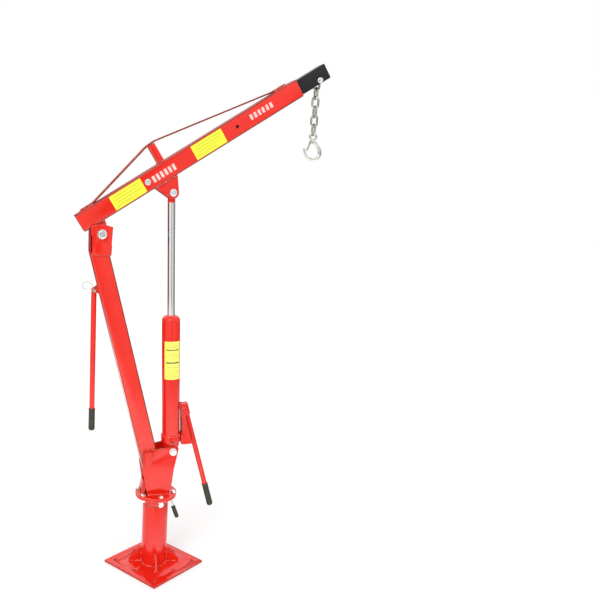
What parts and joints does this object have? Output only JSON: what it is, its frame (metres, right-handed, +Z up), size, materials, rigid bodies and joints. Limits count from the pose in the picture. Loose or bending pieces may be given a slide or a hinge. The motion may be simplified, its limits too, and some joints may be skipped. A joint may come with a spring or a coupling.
{
  "type": "engine hoist crane",
  "caption": "Bolt-down swivel jib crane: leaning mast, lifting boom with sliding extension, hand-pumped long ram, chain and latched load hook.",
  "frame": {"origin": "the middle of the base plate's underside, on the swivel's axis", "axes": "+Z up along the swivel's axis; +X along the boom as it reaches out from the mast at rest; the boom, mast and ram lie in the XZ plane; -Y is the side with the bolt heads"},
  "size_m": [0.9554, 0.3888, 1.9798],
  "materials": {
    "red_paint": "gloss red enamel over welded steel",
    "black_paint": "satin black enamel on the sliding boom",
    "zinc_plate": "bright zinc plate on bolts, chain and hook",
    "chrome_rod": "hard chrome ram rod",
    "machined_steel": "bare machined steel",
    "grip_rubber": "matt dark moulded grip",
    "bronze": "oiled bronze thrust washer"
  },
  "bodies": {
    "base": {"base_plate": "red_paint", "base_post": "red_paint", "base_gusset_1": "red_paint", "base_gusset_2": "red_paint", "base_gusset_3": "red_paint", "base_gusset_4": "red_paint", "pivot_spigot": "machined_steel", "thrust_washer": "bronze"},
    "turret": {"swivel_collar": "red_paint", "lower_flange": "red_paint", "upper_flange": "red_paint", "flange_bolt_1": "zinc_plate", "flange_bolt_2": "zinc_plate", "flange_bolt_3": "zinc_plate", "flange_bolt_4": "zinc_plate", "flange_bolt_5": "zinc_plate", "flange_bolt_6": "zinc_plate", "collar_bolt": "zinc_plate", "mast_tube": "red_paint", "mast_head_bracket": "red_paint", "mast_pivot_bolt": "zinc_plate", "foot_bracket": "red_paint", "ram_foot_bolt": "zinc_plate", "handle_lug": "red_paint", "handle_pin": "zinc_plate"},
    "lock": {"lock_lever": "zinc_plate", "lock_lever_grip": "grip_rubber"},
    "side_handle": {"swing_handle": "red_paint", "swing_handle_grip": "grip_rubber"},
    "boom": {"boom_tube": "red_paint", "boom_pivot_bracket": "red_paint", "ram_ear_bracket": "red_paint", "king_post": "red_paint", "tie_strap": "red_paint", "boom_lock_bolt": "zinc_plate", "ram_top_bolt": "zinc_plate"},
    "extension": {"boom_extension": "black_paint", "chain_bolt": "zinc_plate"},
    "rod": {"ram_piston": "machined_steel", "ram_rod": "chrome_rod", "rod_eye": "red_paint"},
    "cylinder": {"ram_base": "red_paint", "ram_cylinder": "red_paint", "ram_gland": "red_paint", "pump_body": "red_paint", "pump_lever_pin": "red_paint"},
    "valve": {"release_valve": "red_paint"},
    "pump": {"pump_socket": "red_paint", "pump_handle": "red_paint", "pump_grip": "grip_rubber"},
    "plunger": {"pump_plunger": "machined_steel"},
    "link_1": {"chain_link_1": "zinc_plate"},
    "link_2": {"chain_link_2": "zinc_plate"},
    "link_3": {"chain_link_3": "zinc_plate"},
    "link_4": {"chain_link_4": "zinc_plate"},
    "link_5": {"chain_link_5": "zinc_plate"},
    "link_6": {"chain_link_6": "zinc_plate"},
    "hook": {"load_hook": "zinc_plate"},
    "latch": {"hook_latch": "zinc_plate"}
  },
  "joints": [
    {"name": "swivel", "type": "hinge", "parent": "base", "child": "turret", "pos_m": [0, 0, 0.2588], "axis": [0, 0, 1], "continuous": true},
    {"name": "swivel_lock", "type": "hinge", "parent": "turret", "child": "lock", "pos_m": [0.0483, -0.01294, 0.268], "axis": [0.9659, -0.2588, 0], "range_deg": [-80, 80]},
    {"name": "side_handle_swing", "type": "hinge", "parent": "turret", "child": "side_handle", "pos_m": [-0.26, 0, 1.111], "axis": [0, 1, 0], "range_deg": [-8, 80]},
    {"name": "boom_luff", "type": "hinge", "parent": "turret", "child": "boom", "pos_m": [-0.239, 0, 1.3183], "axis": [0, -1, 0], "range_deg": [-28, 10]},
    {"name": "extension_slide", "type": "slide", "parent": "boom", "child": "extension", "axis": [0.8368, 0, 0.5476], "range_m": [0, 0.395]},
    {"name": "ram_top_pivot", "type": "hinge", "parent": "boom", "child": "rod", "pos_m": [0.02174, 0, 1.47613], "axis": [0, -1, 0], "range_deg": [-10, 27]},
    {"name": "ram_stroke", "type": "slide", "parent": "rod", "child": "cylinder", "axis": [0.0324, 0, -0.9995], "range_m": [-0.15, 0.055]},
    {"name": "valve_turn", "type": "hinge", "parent": "cylinder", "child": "valve", "pos_m": [0.04958, -0.045, 0.52387], "axis": [0, -1, 0], "range_deg": [0, 180]},
    {"name": "pump_stroke", "type": "hinge", "parent": "cylinder", "child": "pump", "pos_m": [0.09441, 0, 0.6534], "axis": [0, -1, 0], "range_deg": [0, 75]},
    {"name": "plunger_lift", "type": "slide", "parent": "cylinder", "child": "plunger", "axis": [-0.0324, 0, 0.9995], "range_m": [0, 0.012]},
    {"name": "link_1_swing", "type": "hinge", "parent": "extension", "child": "link_1", "pos_m": [0.57629, 0, 1.91694], "axis": [0, 1, 0], "range_deg": [-35, 15]},
    {"name": "link_2_swing", "type": "hinge", "parent": "link_1", "child": "link_2", "pos_m": [0.57629, 0, 1.88524], "axis": [1, 0, 0], "range_deg": [-25, 25]},
    {"name": "link_3_swing", "type": "hinge", "parent": "link_2", "child": "link_3", "pos_m": [0.57629, 0, 1.85154], "axis": [0, 1, 0], "range_deg": [-25, 25]},
    {"name": "link_4_swing", "type": "hinge", "parent": "link_3", "child": "link_4", "pos_m": [0.57629, 0, 1.81784], "axis": [1, 0, 0], "range_deg": [-25, 25]},
    {"name": "link_5_swing", "type": "hinge", "parent": "link_4", "child": "link_5", "pos_m": [0.57629, 0, 1.78414], "axis": [0, 1, 0], "range_deg": [-25, 25]},
    {"name": "link_6_swing", "type": "hinge", "parent": "link_5", "child": "link_6", "pos_m": [0.57629, 0, 1.75044], "axis": [1, 0, 0], "range_deg": [-25, 25]},
    {"name": "hook_swing", "type": "hinge", "parent": "link_6", "child": "hook", "pos_m": [0.57629, 0, 1.71674], "axis": [0, 1, 0], "range_deg": [-25, 25]},
    {"name": "latch_press", "type": "hinge", "parent": "hook", "child": "latch", "pos_m": [0.56729, 0, 1.68954], "axis": [0, -1, 0], "range_deg": [0, 45], "stiffness_Nm_per_rad": 0.02, "springref_deg": -17.19}
  ],
  "couplings": [
    {"joint": "ram_top_pivot", "follows": "boom_luff", "ratio": -0.884},
    {"joint": "ram_stroke", "follows": "boom_luff", "m_per_rad": 0.282},
    {"joint": "plunger_lift", "follows": "pump_stroke", "m_per_rad": 0.008}
  ]
}
